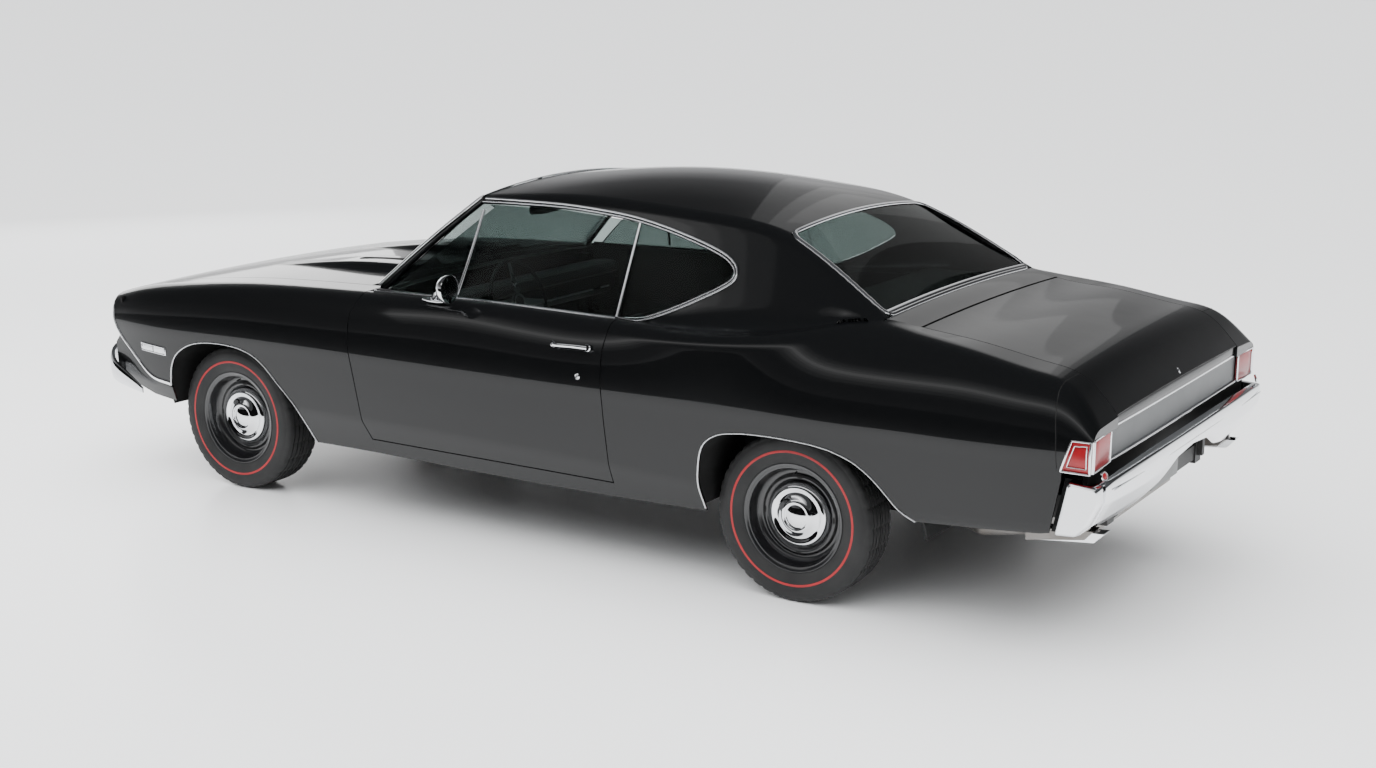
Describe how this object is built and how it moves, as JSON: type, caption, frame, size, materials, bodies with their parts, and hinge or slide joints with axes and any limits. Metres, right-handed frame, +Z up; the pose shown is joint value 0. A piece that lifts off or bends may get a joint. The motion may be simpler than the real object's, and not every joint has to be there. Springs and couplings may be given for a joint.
{
  "type": "muscle car",
  "caption": "Two-door hardtop muscle car with opening doors, hood and trunk, steering front wheels and free-rolling wheels.",
  "frame": {"origin": "on the floor under the centre of the bounding box", "axes": "+X towards the nose, +Y to the car's left, +Z up"},
  "size_m": [4.9447, 1.935, 1.4648],
  "materials": {
    "body_paint": "high gloss black paint",
    "chassis_paint": "satin black",
    "window_glass": "tinted",
    "bright_chrome": "polished",
    "grille_paint": "satin black with bright bars",
    "lamp_glass": "clear fluted",
    "tail_lens": "red lens",
    "wheel_paint": "gloss black steel",
    "tyre_rubber": "matt with a red line",
    "trim_vinyl": "black grained vinyl",
    "plate_grey": "satin grey, blank",
    "dash_plastic": "grained black",
    "engine_iron": "painted iron",
    "exhaust_steel": "dull with bright tips"
  },
  "bodies": {
    "body": {"backlight": "window_glass", "cowl": "body_paint", "dashboard": "dash_plastic", "deck_filler": "body_paint", "engine_block": "engine_iron", "exhaust": "exhaust_steel", "fender_left": "body_paint", "fender_right": "body_paint", "floor_pan": "chassis_paint", "frame": "chassis_paint", "front_bumper": "bright_chrome", "front_seats": "trim_vinyl", "front_suspension": "chassis_paint", "front_valence": "body_paint", "fuel_tank": "exhaust_steel", "grille": "grille_paint", "headlamps": "lamp_glass", "quarter_left": "body_paint", "quarter_right": "body_paint", "quarter_windows": "window_glass", "rear_axle": "chassis_paint", "rear_bumper": "bright_chrome", "rear_plate": "plate_grey", "rear_seat": "trim_vinyl", "rockers": "body_paint", "roof": "body_paint", "tail_lamps": "tail_lens", "tail_panel": "body_paint", "windshield": "window_glass"},
    "hood": {"hood": "body_paint"},
    "trunk_lid": {"trunk_lid": "body_paint"},
    "door_left": {"door_left": "body_paint", "door_glass_left": "window_glass", "door_trim_left": "bright_chrome"},
    "door_right": {"door_right": "body_paint", "door_glass_right": "window_glass", "door_trim_right": "bright_chrome"},
    "knuckle_left": {"knuckle_left": "chassis_paint"},
    "knuckle_right": {"knuckle_right": "chassis_paint"},
    "steering_wheel": {"steering_wheel": "dash_plastic"},
    "steering_linkage": {"steering_linkage": "chassis_paint"},
    "wheel_fl": {"wheel_fl": "wheel_paint", "tyre_fl": "tyre_rubber"},
    "wheel_fr": {"wheel_fr": "wheel_paint", "tyre_fr": "tyre_rubber"},
    "wheel_rl": {"wheel_rl": "wheel_paint", "tyre_rl": "tyre_rubber"},
    "wheel_rr": {"wheel_rr": "wheel_paint", "tyre_rr": "tyre_rubber"}
  },
  "joints": [
    {"name": "door_left_hinge", "type": "hinge", "parent": "body", "child": "door_left", "pos_m": [0.765, 0.925, 0.6], "axis": [0, 0, -1], "range_deg": [0, 65]},
    {"name": "door_right_hinge", "type": "hinge", "parent": "body", "child": "door_right", "pos_m": [0.765, -0.925, 0.6], "axis": [0, 0, 1], "range_deg": [0, 65]},
    {"name": "hood_hinge", "type": "hinge", "parent": "body", "child": "hood", "pos_m": [0.9, 0, 0.945], "axis": [0, -1, 0], "range_deg": [0, 50]},
    {"name": "trunk_hinge", "type": "hinge", "parent": "body", "child": "trunk_lid", "pos_m": [-1.649, 0, 1.066], "axis": [0, 1, 0], "range_deg": [0, 75]},
    {"name": "steer_left", "type": "hinge", "parent": "body", "child": "knuckle_left", "pos_m": [1.61, 0.69, 0.324], "axis": [0, 0, 1], "range_deg": [-33, 33]},
    {"name": "steer_right", "type": "hinge", "parent": "body", "child": "knuckle_right", "pos_m": [1.61, -0.69, 0.324], "axis": [0, 0, 1], "range_deg": [-33, 33]},
    {"name": "steering_link_slide", "type": "slide", "parent": "body", "child": "steering_linkage", "axis": [0, 1, 0], "range_m": [-0.066, 0.066]},
    {"name": "steering_wheel_turn", "type": "hinge", "parent": "body", "child": "steering_wheel", "pos_m": [0.38, 0.37, 0.9], "axis": [-0.9545, 0, 0.2983], "range_deg": [-540, 540]},
    {"name": "wheel_fl_spin", "type": "hinge", "parent": "knuckle_left", "child": "wheel_fl", "pos_m": [1.61, 0.75, 0.324], "axis": [0, 1, 0], "continuous": true},
    {"name": "wheel_fr_spin", "type": "hinge", "parent": "knuckle_right", "child": "wheel_fr", "pos_m": [1.61, -0.75, 0.324], "axis": [0, 1, 0], "continuous": true},
    {"name": "wheel_rl_spin", "type": "hinge", "parent": "body", "child": "wheel_rl", "pos_m": [-1.235, 0.75, 0.324], "axis": [0, 1, 0], "continuous": true},
    {"name": "wheel_rr_spin", "type": "hinge", "parent": "body", "child": "wheel_rr", "pos_m": [-1.235, -0.75, 0.324], "axis": [0, 1, 0], "continuous": true}
  ],
  "couplings": [
    {"joint": "steer_right", "follows": "steer_left", "ratio": 1},
    {"joint": "steering_link_slide", "follows": "steer_left", "m_per_rad": -0.11},
    {"joint": "steering_wheel_turn", "follows": "steer_left", "ratio": 16}
  ]
}
